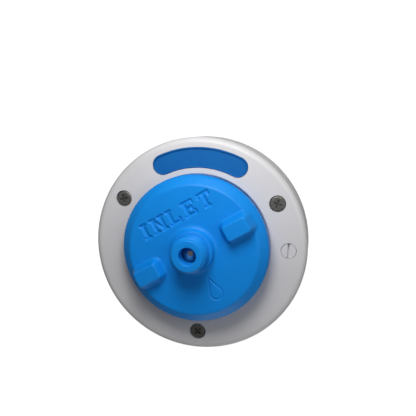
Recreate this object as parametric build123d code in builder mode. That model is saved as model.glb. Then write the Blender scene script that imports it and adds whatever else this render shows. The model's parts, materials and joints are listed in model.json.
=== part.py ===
"""Compact sand filter tank with a blue screw cap, in build123d, in millimetres.

The tank stands on the floor with its axis along +Z. The origin is on that axis at the floor. The screw cap and
its threaded inlet nozzle are on top, the colour inlay is towards +Y, the outlet leaves towards -X and the
drain plug towards -Y.
"""

from build123d import *
from math import cos, radians, sin, sqrt
import os

# ---- driving dimensions ------------------------------------------------------------------------------------
ring_radius = 65.0  # outside of the top ring, the widest part
ring_band = 22.2  # width of the ring's face, from the mouth to the outside
ring_skirt = 26.0  # depth of the ring's outer wall
ring_wall = 3.0
ring_web = 4.0  # thickness of the ring's face
ring_round = 3.5  # rounding of the ring's outer edge
ring_rib = 2.0  # thickness of the ribs under the ring's face
ring_rib_depth = 10.5
mouth_chamfer = 0.8

mouth_plate_top = 131.0
mouth_plate = 10.0
collar_height = 19.0  # from the mouth plate to the ring's face
tank_wall = 3.0
belly_inset = 6.0  # the belly stays this far inside the ring's outside
belly_height = 96.0
barrel_radius = 250.0  # curvature of the tank's side
seat_height = 44.0  # where the tank rests on its pedestal
crown_height = 24.0  # lowest point of the bottom dome

pedestal_wall = 2.6
pedestal_spread = 4.0  # the foot of the pedestal stands this far inside the tank's seat
pedestal_waist = 9.0  # and its waist this far
post_top = 20.0  # where the tank's bosses stand on the pedestal's posts
post_circle = 30.0
pad_thickness = 2.5

cap_lead = 10.0  # rise of the cap's thread in one turn
cap_starts = 2
cap_thread_depth = 1.9
cap_ridge_root = 3.2  # width of a cap thread where it leaves the core
cap_ridge_crest = 1.5
cap_groove_play = 0.7  # how much wider the collar's groove is than the cap's ridge
cap_gap = 7.5  # free height between the ring's face and the cap's flange
cap_flange = 3.5
cap_bevel = 4.5  # height of the bevel between flange and face
cap_bevel_run = 5.6  # width of that bevel
cap_overhang = 0.8  # how far the cap's flange stands over the mouth
cap_top = 4.0  # thickness of the cap's face
cap_rim_round = 1.5
cap_rib = 2.0
cap_angle = 30.0  # the cap's rest position, counter-clockwise from +X

nozzle_rise = 15.5  # nozzle tip above the cap's face
nozzle_crest = 10.48  # G1/2 thread
nozzle_core = 9.36
nozzle_pitch = 1.814
nozzle_bore = 4.9

lateral_count = 6
lateral_height = 50.0
lateral_radius = 4.0
outlet_height = 61.0
spigot_radius = 10.0
spigot_length = 20.0
gravel_top = 77.0
sand_top = 99.0

running = 0.3  # gap between pieces that move past each other
snug = 0.05  # gap between pieces that are fitted together
embed = 0.6  # how far a joined feature starts inside its parent

# ---- sizes that follow from them ---------------------------------------------------------------------------
mouth_radius = ring_radius - ring_band
face_z = mouth_plate_top + collar_height
web_under = face_z - ring_web
groove_root = mouth_radius - 0.2
cap_crest = groove_root - 0.4
cap_core = cap_crest - cap_thread_depth
collar_bore = cap_core + 0.6
collar_outer = mouth_radius + 3.2
neck_bore = cap_core - 1.3  # bore of the mouth plate, where the cap's O-ring seals
nose_radius = neck_bore - 0.4
ledge_bore = neck_bore - 2.0
screw_circle = mouth_radius + ring_band / 2
flange_radius = ring_radius - ring_wall - 1.5
belly_radius = ring_radius - belly_inset
ledge_z = mouth_plate_top - 7.0
plate_under = mouth_plate_top - mouth_plate

cap_bottom = ledge_z + 2.2
flange_under = face_z + cap_gap
flange_top = flange_under + cap_flange
cap_face = flange_top + cap_bevel
cap_edge = mouth_radius + cap_overhang
face_radius = cap_edge - cap_bevel_run
nozzle_tip = cap_face + nozzle_rise
cap_hollow = nose_radius - 5.1
cap_ceiling = cap_face - cap_top


def barrel(z):
    """Outside radius of the tank's side at height z: an arc, widest at the belly."""
    return belly_radius - barrel_radius + sqrt(barrel_radius**2 - (z - belly_height) ** 2)


seat_outer = barrel(seat_height)
dome_rim = seat_outer - 3.4
dome_radius = (dome_rim**2 + (seat_height - crown_height) ** 2) / (2 * (seat_height - crown_height))
dome_centre = crown_height + dome_radius


def dome(r, wall=0.0):
    """Height of the bottom dome at radius r, on the outside or a wall's thickness above it."""
    return dome_centre - sqrt((dome_radius - wall) ** 2 - r**2)


def finish(piece, label, axis=Plane.XY):
    """Place a finished piece along its axis plane, name it and write it as one STEP file."""
    piece.part = piece.part.moved(axis.location)
    piece.part.label = label
    export_step(piece.part, f"parts/{label}.step")


def disc(axis, start, end, radius, bore=0.0, mode=Mode.ADD):
    """A round step of the piece in hand, from start to end along the axis plane's normal."""
    with BuildSketch(axis.offset(start)) as outline:
        Circle(radius)
        if bore:
            Circle(bore, mode=Mode.SUBTRACT)
    extrude(to_extrude=outline.sketch, amount=end - start, mode=mode)


def turned(points):
    """A body of revolution about +Z from a closed outline of radius and height."""
    with BuildPart() as body:
        with BuildSketch(Plane.XZ):
            with BuildLine():
                Polyline(*points, close=True)
            make_face()
        revolve(axis=Axis.Z)
    return body.part


def thread(core, crest, root_width, crest_width, lead, bottom, top, starts=1):
    """Helical ridges on a core, in stretches of under one turn.

    They lie on one helix that passes the x axis at height 0, so mating threads line up.
    """
    stretches = max(1, round((top - bottom) / lead / 0.8))
    rise = (top - bottom) / stretches
    ridges = []
    for start in range(starts):
        for low in [bottom + rise * k for k in range(stretches)]:
            with BuildPart() as ridge:
                with BuildLine() as path:
                    Helix(pitch=lead, height=rise, radius=core, center=(0, 0, low))
                with BuildSketch(Plane(origin=path.line @ 0, x_dir=(1, 0, 0), z_dir=path.line % 0)):
                    with BuildLine():
                        Polyline(
                            (-embed, -root_width / 2),
                            (0, -root_width / 2),
                            (crest - core, -crest_width / 2),
                            (crest - core, crest_width / 2),
                            (0, root_width / 2),
                            (-embed, root_width / 2),
                            close=True,
                        )
                    make_face()
                sweep(path=path.line, is_frenet=True)
            phase = 360 * low / lead + 360 * start / starts
            ridges.append(ridge.part.rotate(Axis.Z, phase))
    return ridges


def add_each(pieces, mode=Mode.ADD):
    """Join or cut pieces one after another, with their seams kept."""
    for piece in pieces:
        add(piece, clean=False, mode=mode)


def make_o_ring(label, axis, major, minor, height):
    """A round-section seal lying across the axis plane's normal."""
    with BuildPart() as ring:
        Torus(major, minor)
    finish(ring, label, axis.offset(height))


# ---- places shared by several pieces -----------------------------------------------------------------------
screw_angles = 30  # first of the three screws
bleed_angle = radians(-0.7)
upright = Plane.XY
bleed_axis = Plane(origin=(screw_circle * cos(bleed_angle), screw_circle * sin(bleed_angle), 0))
outlet_axis = Plane(origin=(0, 0, outlet_height), x_dir=(0, -1, 0), z_dir=(-1, 0, 0))
drain_axis = Plane(origin=(0, 0, outlet_height), x_dir=(1, 0, 0), z_dir=(0, -1, 0))
cap_plane = Plane(origin=(0, 0, cap_face), x_dir=(cos(radians(cap_angle)), sin(radians(cap_angle)), 0))

screw_radius = 2.5
screw_head_radius = 4.6
screw_head_height = 2.6
screw_head_round = 0.9
screw_sink = 0.3  # the heads lie this far below the ring's face
screw_post_wall = 0.9
head_clearance = 0.35  # gap round a head in its counterbore
shank_clearance = 0.15
cross_length = 5.0  # cross recess in the ring screws' heads
cross_width = 1.15
cross_depth = 1.7
insert_radius = 3.5
insert_depth = 7.5

bleed_head_radius = 4.5
bleed_crest = 2.45
bleed_depth = 7.2
bleed_post_wall = 2.0
bleed_slot_width = 1.3
bleed_slot_depth = 1.6
bleed_duct = 0.7
bleed_seal_bore = 4.0
bleed_seal_depth = 1.2

boss_face = belly_radius + 4.0  # face of the outlet and drain bosses, from the tank's axis
boss_root = belly_radius - 13.0
outlet_boss = 14.5
outlet_crest = 10.4
drain_boss = 10.5
drain_core = 5.7
drain_crest = 6.5
drain_lead = 1.337
thread_gap = 0.12

# ---- top ring and what is fixed on it ----------------------------------------------------------------------
inlay_circle = screw_circle - 1.0
inlay_middle = 89.5  # the inlay's middle, counter-clockwise from +X
inlay_half_angle = 25.3
inlay_width = ring_band - 9.8
inlay_depth = 1.6
inlay_gap = 0.12
inlay_rim_width = 0.9
inlay_rim_height = 0.45
inlay_sink = 0.15  # the rim lies this far below the ring's face
peg_radius = 1.5
peg_spread = 20


def inlay_outline(width):
    """The kidney shape of the inlay, along an arc about the tank's axis."""
    with BuildLine() as spine:
        CenterArc((0, 0), inlay_circle, inlay_middle - inlay_half_angle, 2 * inlay_half_angle)
    SlotArc(spine.edges()[0], width)


def peg_places():
    angles = [radians(inlay_middle + step * peg_spread) for step in (-1, 0, 1)]
    return [Location((inlay_circle * cos(a), inlay_circle * sin(a))) for a in angles]


def ring_places():
    return PolarLocations(screw_circle, 3, start_angle=screw_angles)


def make_top_ring():
    """White ring that clamps on the tank: face, skirt, threaded collar, screw posts and ribs."""
    skirt_bottom = face_z - ring_skirt
    with BuildPart() as top_ring:
        with BuildSketch(Plane.XZ):
            with BuildLine():
                Polyline(
                    (collar_bore, mouth_plate_top),
                    (collar_outer, mouth_plate_top),
                    (collar_outer, web_under),
                    (ring_radius - ring_wall, web_under),
                    (ring_radius - ring_wall, skirt_bottom),
                    (ring_radius, skirt_bottom),
                    (ring_radius, face_z - ring_round),
                )
                RadiusArc((ring_radius, face_z - ring_round), (ring_radius - ring_round, face_z), -ring_round)
                Polyline(
                    (ring_radius - ring_round, face_z),
                    (mouth_radius + mouth_chamfer, face_z),
                    (mouth_radius, face_z - mouth_chamfer),
                    (mouth_radius, web_under + 0.5),
                    (collar_bore, web_under - 1.2),
                    (collar_bore, mouth_plate_top),
                )
            make_face()
        revolve(axis=Axis.Z)
        with BuildSketch(Plane.XY.offset(mouth_plate_top)):
            with ring_places():
                Circle(screw_head_radius + screw_post_wall)
        extrude(amount=web_under - mouth_plate_top + embed)
        disc(bleed_axis, mouth_plate_top, web_under + embed, bleed_head_radius + bleed_post_wall)
        rib_length = ring_radius - ring_wall - collar_outer + 2 * embed
        with BuildSketch(Plane.XY.offset(web_under + embed)):
            with PolarLocations((collar_outer + ring_radius - ring_wall) / 2, 6, start_angle=60):
                Rectangle(rib_length, ring_rib)
        extrude(amount=-ring_rib_depth)
        with BuildSketch(Plane.XY.offset(face_z)):
            with ring_places():
                Circle(screw_head_radius + head_clearance)
        extrude(amount=-(screw_head_height + screw_sink), mode=Mode.SUBTRACT)
        with BuildSketch(Plane.XY.offset(face_z)):
            with ring_places():
                Circle(screw_radius + shank_clearance)
        extrude(amount=-collar_height, mode=Mode.SUBTRACT)
        bleed_bore = bleed_head_radius + shank_clearance
        disc(bleed_axis, mouth_plate_top - embed, face_z + embed, bleed_bore, mode=Mode.SUBTRACT)
        with BuildSketch(Plane.XY.offset(face_z)):
            inlay_outline(inlay_width)
        extrude(amount=-inlay_depth, mode=Mode.SUBTRACT)
        with BuildSketch(Plane.XY.offset(face_z)):
            with Locations(*peg_places()):
                Circle(peg_radius + snug)
        extrude(amount=-(ring_web + embed), mode=Mode.SUBTRACT)
        grooves = thread(
            cap_core + running,
            groove_root,
            cap_ridge_root + cap_groove_play,
            cap_ridge_crest + cap_groove_play,
            cap_lead,
            mouth_plate_top - 2.5,
            face_z + 2,
            cap_starts,
        )
        add_each(grooves, mode=Mode.SUBTRACT)
    finish(top_ring, "top_ring")


def make_colour_inlay():
    """Blue inlay: a plate with a raised rim, and three pegs through the ring's face."""
    rim_top = face_z - inlay_sink
    with BuildPart() as colour_inlay:
        with BuildSketch(Plane.XY.offset(face_z - inlay_depth)):
            inlay_outline(inlay_width - 2 * inlay_gap)
        extrude(amount=rim_top - (face_z - inlay_depth))
        with BuildSketch(Plane.XY.offset(rim_top)):
            inlay_outline(inlay_width - 2 * inlay_gap - 2 * inlay_rim_width)
        extrude(amount=-inlay_rim_height, mode=Mode.SUBTRACT)
        with BuildSketch(Plane.XY.offset(face_z - inlay_depth)):
            with Locations(*peg_places()):
                Circle(peg_radius)
        extrude(amount=-(ring_web - inlay_depth))
    finish(colour_inlay, "colour_inlay")


def make_ring_screws():
    """Three M5 pan-head screws with cross recesses, from the ring's face into the inserts."""
    head_under = face_z - screw_sink - screw_head_height
    with BuildPart() as ring_screws:
        with BuildSketch(Plane.XY.offset(head_under)):
            with ring_places():
                Circle(screw_head_radius)
        extrude(amount=screw_head_height)
        fillet(ring_screws.faces().filter_by(Plane.XY).group_by(Axis.Z)[-1].edges(), screw_head_round)
        with BuildSketch(Plane.XY.offset(head_under)):
            with ring_places():
                Circle(screw_radius - snug)
        extrude(amount=-(head_under - mouth_plate_top + insert_depth - 1))
        for spin in (45, 135):
            with BuildSketch(Plane.XY.offset(head_under + screw_head_height)):
                with ring_places():
                    Rectangle(cross_length, cross_width, rotation=spin)
            extrude(amount=-cross_depth, mode=Mode.SUBTRACT)
    finish(ring_screws, "ring_screws")


def make_brass_inserts():
    """Brass inserts moulded into the mouth plate, one under each ring screw."""
    with BuildPart() as brass_inserts:
        with BuildSketch(Plane.XY.offset(mouth_plate_top - 0.1)):
            with ring_places():
                Circle(insert_radius)
                Circle(screw_radius, mode=Mode.SUBTRACT)
        extrude(amount=-(insert_depth - 0.1))
    finish(brass_inserts, "brass_inserts")


def make_bleed_plug():
    """Slotted air-bleed plug, flush with the ring and screwed into the tank's mouth plate."""
    shoulder = mouth_plate_top + 0.1
    head_top = face_z - 0.4
    with BuildPart() as bleed_plug:
        disc(upright, shoulder - bleed_depth, shoulder, bleed_crest)
        disc(upright, shoulder, head_top, bleed_head_radius)
        chamfer(bleed_plug.faces().sort_by(Axis.Z)[-1].edges(), 0.3)
        with BuildSketch(upright.offset(head_top)):
            Rectangle(bleed_slot_width, 2 * bleed_head_radius + 1)
        extrude(amount=-bleed_slot_depth, mode=Mode.SUBTRACT)
    finish(bleed_plug, "bleed_plug", bleed_axis)
    make_o_ring("bleed_plug_seal", bleed_axis, 3.3, 0.6, mouth_plate_top - 0.55)


# ---- screw cap ---------------------------------------------------------------------------------------------
cap_ring_minor = 1.3
cap_ring_major = neck_bore - snug - cap_ring_minor
cap_ring_z = cap_bottom + 3.0
cap_groove_root = cap_ring_major - cap_ring_minor - snug
neck_radius = mouth_radius - 1.5
hollow_wide = neck_radius - 4.8
ball_radius = 6.0
seat_z = cap_face + 6.5  # where the nozzle's bore meets the valve chamber
ball_z = seat_z - sqrt((ball_radius + snug) ** 2 - nozzle_bore**2)
chamber_radius = ball_radius + 1.0
cone_slope = nozzle_bore / (seat_z - ball_z)
cone_bottom = seat_z - (chamber_radius - nozzle_bore) * cone_slope
tube_radius = 10.0
tube_bottom = face_z - 2.0
cage_height = 2.5
cage_hole = 1.5
cage_hole_circle = 4.6
spring_radius = 4.0
spring_wire = 0.35
spring_turns = 5
lug_place = 29.7  # middle of a finger lug, from the axis
lug_length = 16.0
lug_width = 10.8
lug_height = 7.0
lug_foot_x = 3.4  # how much larger the flared foot of a lug is, along the lug and across it
lug_foot_y = 4.6
lug_foot_height = 4.0
lug_foot_sink = 2.6
word_y = 23.2
letter_height = 8.4
letter_stroke = 1.5
letter_pitch = 10.4
engraving = 0.8


def cap_outline():
    """Outline of the cap's shell, from the nose with its O-ring groove to the bevelled top."""
    groove_low = cap_ring_z - cap_ring_minor - 0.1
    groove_high = cap_ring_z + cap_ring_minor + 0.1
    return (
        (cap_hollow, cap_bottom),
        (nose_radius - 0.6, cap_bottom),
        (nose_radius, cap_bottom + 0.6),
        (nose_radius, groove_low),
        (cap_groove_root, groove_low),
        (cap_groove_root, groove_high),
        (nose_radius, groove_high),
        (nose_radius, mouth_plate_top + 2.0),
        (cap_core, mouth_plate_top + 2.0 + cap_core - nose_radius),
        (cap_core, web_under + 1.0),
        (neck_radius, web_under + 2.0),
        (neck_radius, flange_under),
        (cap_edge, flange_under),
        (cap_edge, flange_top),
        (face_radius, cap_face),
        (0, cap_face),
        (0, cap_ceiling),
        (hollow_wide, cap_ceiling),
        (hollow_wide, face_z),
        (cap_hollow, face_z - (hollow_wide - cap_hollow)),
    )


def nozzle_outline():
    """Outline of the hub and the nozzle's core above the cap's face."""
    return (
        (0, cap_face - embed),
        (nozzle_crest + 5.0, cap_face - embed),
        (nozzle_crest + 5.0, cap_face),
        (nozzle_crest + 3.4, cap_face + 0.5),
        (nozzle_crest + 2.4, cap_face + 2.0),
        (nozzle_crest + 1.6, cap_face + 3.6),
        (nozzle_core, cap_face + 4.2),
        (nozzle_core, nozzle_tip - 0.9),
        (nozzle_core - 0.8, nozzle_tip),
        (0, nozzle_tip),
    )


def valve_outline():
    """Outline of the valve chamber, its seat and the nozzle's bore."""
    return (
        (0, tube_bottom - embed),
        (chamber_radius, tube_bottom - embed),
        (chamber_radius, cone_bottom),
        (nozzle_bore, seat_z),
        (nozzle_bore, nozzle_tip - 0.4),
        (nozzle_bore + 0.6, nozzle_tip + 0.2),
        (0, nozzle_tip + 0.2),
    )


def bar(x, y, width, height):
    """One straight stroke of a letter, by its centre."""
    with Locations((x, y)):
        Rectangle(width, height)


def slab_stem(x, y):
    """An upright stroke with a slab serif at each end."""
    bar(x, y, letter_stroke, letter_height)
    for end in (-1, 1):
        bar(x, y + end * (letter_height - 0.9) / 2, letter_stroke + 2.2, 0.9)


def inlet_word(y):
    """The plain word INLET in slab capitals, centred on x = 0."""
    half = letter_height / 2
    i_centre, n_centre, l_centre, e_centre, t_centre = [step * letter_pitch for step in (-2, -1, 0, 1, 2)]
    slab_stem(i_centre + 1.2, y)
    slab_stem(n_centre - 2.7, y)
    slab_stem(n_centre + 2.7, y)
    with BuildLine() as diagonal:
        Polyline(
            (n_centre - 3.4, y + half),
            (n_centre - 1.9, y + half),
            (n_centre + 3.4, y - half),
            (n_centre + 1.9, y - half),
            close=True,
        )
    make_face(diagonal.edges())
    for centre in (l_centre, e_centre):
        slab_stem(centre - 2.2, y)
        bar(centre + 0.2, y - half + 0.6, 6.0, 1.2)
        bar(centre + 2.8, y - half + 1.3, 0.9, 2.6)
    bar(e_centre + 0.2, y + half - 0.6, 6.0, 1.2)
    bar(e_centre + 2.8, y + half - 1.3, 0.9, 2.6)
    bar(e_centre - 0.2, y, 3.6, 1.1)
    bar(e_centre + 1.4, y, 0.8, 2.6)
    slab_stem(t_centre, y)
    bar(t_centre, y + half - 0.6, 7.4, 1.2)
    for side in (-1, 1):
        bar(t_centre + side * 3.3, y + half - 1.3, 0.9, 2.6)


def droplet(inset):
    """A drop with its tip towards the nozzle, smaller by the inset on every side."""
    belly = 4.1 - inset
    belly_y = -28.0
    tip_y = belly_y + 10.5 * belly / 4.1
    reach = tip_y - belly_y
    touch_x = belly * sqrt(reach**2 - belly**2) / reach
    touch_y = belly_y + belly**2 / reach
    with BuildSketch() as drop:
        with BuildLine():
            Line((0, tip_y), (touch_x, touch_y))
            ThreePointArc((touch_x, touch_y), (0, belly_y - belly), (-touch_x, touch_y))
            Line((-touch_x, touch_y), (0, tip_y))
        make_face()
    return drop.sketch


def make_inlet_cap():
    """Blue screw cap with two finger lugs, the word INLET, a drop mark and the threaded hose nozzle."""
    with BuildPart() as inlet_cap:
        add(turned(cap_outline()))
        rim = inlet_cap.edges().filter_by(GeomType.CIRCLE)
        fillet(rim.filter_by(lambda e: abs(e.center().Z - flange_top) < 0.01), cap_rim_round)
        with BuildSketch(cap_plane.offset(cap_ceiling - cap_face + embed)):
            with PolarLocations((hollow_wide + tube_radius) / 2 - 1.0, 6, start_angle=30):
                Rectangle(hollow_wide - tube_radius, cap_rib)
        extrude(amount=-(cap_ceiling + embed - face_z))
        disc(upright, tube_bottom, cap_ceiling + embed, tube_radius)
        add(turned(nozzle_outline()))
        for side in (-1, 1):
            with BuildSketch(cap_plane.offset(-lug_foot_sink)):
                with Locations((side * lug_place, 0)):
                    RectangleRounded(lug_length + lug_foot_x, lug_width + lug_foot_y, 2.5)
            extrude(amount=lug_foot_height, taper=35)
            with BuildSketch(cap_plane.offset(-embed)):
                with Locations((side * lug_place, 0)):
                    RectangleRounded(lug_length, lug_width, 1.8)
            extrude(amount=lug_height + embed, taper=6)
        lug_tops = inlet_cap.faces().filter_by(Plane.XY)
        lug_tops = lug_tops.filter_by(lambda f: abs(f.center().Z - cap_face - lug_height) < 0.01)
        fillet(lug_tops.edges(), 0.8)
        with BuildSketch(cap_plane):
            inlet_word(word_y)
            add(droplet(0))
            add(droplet(0.9), mode=Mode.SUBTRACT)
        extrude(amount=-engraving, mode=Mode.SUBTRACT)
        add(turned(valve_outline()), mode=Mode.SUBTRACT)
        cap_ridges = thread(
            cap_core,
            cap_crest,
            cap_ridge_root,
            cap_ridge_crest,
            cap_lead,
            mouth_plate_top + 5,
            web_under - 1,
            cap_starts,
        )
        add_each(cap_ridges)
        nozzle_ridge = thread(
            nozzle_core, nozzle_crest, 1.5, 0.3, nozzle_pitch, cap_face + 5.2, nozzle_tip - 1.6
        )
        add_each(nozzle_ridge)
    finish(inlet_cap, "inlet_cap")


def make_cap_contents():
    """What travels with the cap: its O-ring and the check valve behind the nozzle."""
    make_o_ring("cap_o_ring", upright, cap_ring_major, cap_ring_minor, cap_ring_z)
    with BuildPart() as check_ball:
        with Locations((0, 0, ball_z)):
            Sphere(ball_radius)
    finish(check_ball, "check_ball")
    with BuildPart() as valve_cage:
        disc(upright, tube_bottom, tube_bottom + cage_height, chamber_radius - snug)
        with BuildSketch(Plane.XY.offset(tube_bottom)):
            with PolarLocations(cage_hole_circle, 6):
                Circle(cage_hole)
            Circle(cage_hole)
        extrude(amount=cage_height, mode=Mode.SUBTRACT)
    finish(valve_cage, "valve_cage")
    spring_bottom = tube_bottom + cage_height + spring_wire + snug
    spring_top = ball_z - sqrt(ball_radius**2 - spring_radius**2) - 3 * spring_wire
    with BuildPart() as check_spring:
        with BuildLine() as coil:
            Helix(
                pitch=(spring_top - spring_bottom) / spring_turns,
                height=spring_top - spring_bottom,
                radius=spring_radius,
                center=(0, 0, spring_bottom),
            )
        with BuildSketch(Plane(origin=coil.line @ 0, x_dir=(1, 0, 0), z_dir=coil.line % 0)):
            Circle(spring_wire)
        sweep(path=coil.line, is_frenet=True)
    finish(check_spring, "check_spring")


# ---- tank and what is inside it ----------------------------------------------------------------------------
diffuser_rim = 1.5
diffuser_depth = 8.0
diffuser_floor = 1.6
diffuser_wall = 1.8
diffuser_hole = 1.4
diffuser_hole_pitch = 7.4
hub_radius = 12.0
hub_wall = 3.0
hub_bottom = lateral_height - 8.0
hub_top = outlet_height + 10.0
hub_foot = 5.0
foot_boss = 8.0
foot_boss_top = crown_height + 6.0
pipe_radius = 7.0
bed_gap = 0.25  # gap between the filter beds and what they lie against
lateral_end = 46.0
lateral_inner = 2.8
lateral_slots = 10
lateral_slot_width = 0.8
lateral_slot_pitch = 3.0
lateral_root = hub_radius - hub_wall + 0.8  # a lateral's inner end, inside the hub's wall
base_boss = 5.0  # bosses under the tank, where the base screws hold
base_screw_radius = 2.05
base_screw_head = 4.0
base_screw_head_height = 2.6
base_screw_depth = 8.0
seal_seat = 2.2  # depth and width of the O-ring's seat in the outlet and drain bosses


def lateral_angles():
    return [30 + 360 / lateral_count * k for k in range(lateral_count)]


def lateral_axis(angle):
    """Plane whose normal points outwards along one lateral."""
    out = Vector(cos(radians(angle)), sin(radians(angle)), 0)
    return Plane(origin=(0, 0, lateral_height), x_dir=(0, 0, 1), z_dir=out)


def side_heights():
    """Heights at which the tank's side is set out, from the mouth plate down to the seat."""
    steps = 6
    return [plate_under + (seat_height - plate_under) * k / steps for k in range(steps + 1)]


def cavity(gap, top):
    """The tank's inside up to a height, smaller by the gap all round."""
    wall = tank_wall + gap
    knee = dome_rim - 1.5 - gap
    knee_z = dome(knee, wall)
    middle = dome_rim / 2
    heights = [top] + [z for z in side_heights()[:-1] if z < top - 1]
    with BuildPart() as inside:
        with BuildSketch(Plane.XZ):
            with BuildLine():
                Line((0, top), (barrel(top) - wall, top))
                Spline(*[(barrel(z) - wall, z) for z in heights], (knee, knee_z))
                ThreePointArc((knee, knee_z), (middle, dome(middle, wall)), (0, dome(0, wall)))
                Line((0, dome(0, wall)), (0, top))
            make_face()
        revolve(axis=Axis.Z)
    return inside.part


def make_tank_shell():
    """White tank: mouth plate, barrel side, seat and bottom dome, with bosses for every fitting."""
    dome_middle = dome_rim / 2
    with BuildPart() as tank_shell:
        with BuildSketch(Plane.XZ):
            with BuildLine():
                Polyline(
                    (0, mouth_plate_top),
                    (flange_radius, mouth_plate_top),
                    (flange_radius, plate_under + 3.0),
                    (barrel(plate_under), plate_under),
                )
                Spline(*[(barrel(z), z) for z in side_heights()])
                Polyline((seat_outer, seat_height), (dome_rim, seat_height))
                ThreePointArc((dome_rim, seat_height), (dome_middle, dome(dome_middle)), (0, crown_height))
                Line((0, crown_height), (0, mouth_plate_top))
            make_face()
        revolve(axis=Axis.Z)
        with BuildSketch(Plane.XY.offset(post_top)):
            with PolarLocations(post_circle, 3, start_angle=90):
                Circle(base_boss)
        extrude(amount=seat_height - post_top)
        disc(outlet_axis, boss_root, boss_face, outlet_boss)
        disc(drain_axis, boss_root, boss_face, drain_boss)
        add(cavity(0, plate_under), mode=Mode.SUBTRACT)
        disc(outlet_axis, boss_root, boss_face - 1, outlet_boss)
        disc(drain_axis, boss_root, boss_face - 1, drain_boss)
        disc(upright, dome(0, tank_wall) - 1, foot_boss_top, foot_boss)
        disc(upright, plate_under, ledge_z, ledge_bore, mode=Mode.SUBTRACT)
        disc(upright, ledge_z, mouth_plate_top, neck_bore, mode=Mode.SUBTRACT)
        with BuildSketch(Plane.XY.offset(mouth_plate_top)):
            with ring_places():
                Circle(insert_radius)
        extrude(amount=-insert_depth, mode=Mode.SUBTRACT)
        with BuildSketch(Plane.XY.offset(post_top)):
            with PolarLocations(post_circle, 3, start_angle=90):
                Circle(base_screw_radius + snug)
        extrude(amount=base_screw_depth + 0.5, mode=Mode.SUBTRACT)
        thread_bore = bleed_crest + thread_gap
        thread_end = mouth_plate_top - bleed_depth - embed
        disc(bleed_axis, thread_end, mouth_plate_top, thread_bore, mode=Mode.SUBTRACT)
        seal_floor = mouth_plate_top - bleed_seal_depth
        disc(bleed_axis, seal_floor, mouth_plate_top, bleed_seal_bore, mode=Mode.SUBTRACT)
        disc(bleed_axis, plate_under - 2, mouth_plate_top, bleed_duct, mode=Mode.SUBTRACT)
        for axis, crest in ((outlet_axis, outlet_crest), (drain_axis, drain_crest)):
            disc(axis, boss_root - 1, boss_face + 1, crest + thread_gap, mode=Mode.SUBTRACT)
            disc(axis, boss_face - seal_seat, boss_face, crest + seal_seat, mode=Mode.SUBTRACT)
    finish(tank_shell, "tank_shell")


def make_outlet():
    """Outlet fitting with a plain hose spigot, screwed into its boss, and its O-ring."""
    flange_start = boss_face + snug
    with BuildPart() as outlet_fitting:
        disc(upright, boss_root, flange_start, outlet_crest)
        with BuildSketch(upright.offset(flange_start)):
            RegularPolygon(outlet_crest + 4.4, 6)
        extrude(amount=6)
        disc(upright, flange_start + 6, flange_start + 6 + spigot_length, spigot_radius)
        chamfer(outlet_fitting.faces().sort_by(Axis.Z)[-1].edges(), 0.8)
        disc(upright, boss_root - 1, boss_face + spigot_length + 10, pipe_radius - 1.5, mode=Mode.SUBTRACT)
        disc(upright, boss_root - 1, boss_root + 8, pipe_radius + snug, mode=Mode.SUBTRACT)
    finish(outlet_fitting, "outlet_fitting", outlet_axis)
    make_o_ring("outlet_o_ring", outlet_axis, outlet_crest + 1.1, 1.0, boss_face - 1.1)


def make_drain():
    """Drain plug with a finger bar, and the O-ring on its shank."""
    head_start = boss_face + 0.1
    with BuildPart() as drain_plug:
        disc(upright, boss_root + 2, head_start, drain_core)
        add_each(thread(drain_core, drain_crest, 0.9, 0.2, drain_lead, boss_root + 3, boss_face - 4))
        disc(upright, head_start, head_start + 4, drain_boss)
        with BuildSketch(upright.offset(head_start + 3)):
            RectangleRounded(2 * drain_boss - 1, 5, 2)
        extrude(amount=8)
        fillet(drain_plug.faces().sort_by(Axis.Z)[-1].edges(), 0.8)
    finish(drain_plug, "drain_plug", drain_axis)
    make_o_ring("drain_plug_seal", drain_axis, drain_crest + 1.1, 1.0, boss_face - 1.1)


def make_diffuser():
    """Perforated basket under the cap, that spreads the water over the sand."""
    rim_bottom = ledge_z + snug
    floor = rim_bottom - diffuser_depth
    basket = ledge_bore - 0.5
    rim_top = rim_bottom + diffuser_rim
    with BuildPart() as diffuser:
        disc(upright, rim_bottom, rim_top, neck_bore - running)
        disc(upright, floor, rim_bottom + embed, basket)
        disc(upright, floor + diffuser_floor, rim_top, basket - diffuser_wall, mode=Mode.SUBTRACT)
        with BuildSketch(Plane.XY.offset(floor)):
            for hole_ring in range(1, 5):
                with PolarLocations(hole_ring * diffuser_hole_pitch, 6 * hole_ring):
                    Circle(diffuser_hole)
            Circle(diffuser_hole)
        extrude(amount=diffuser_floor, mode=Mode.SUBTRACT)
    finish(diffuser, "diffuser")


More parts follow.
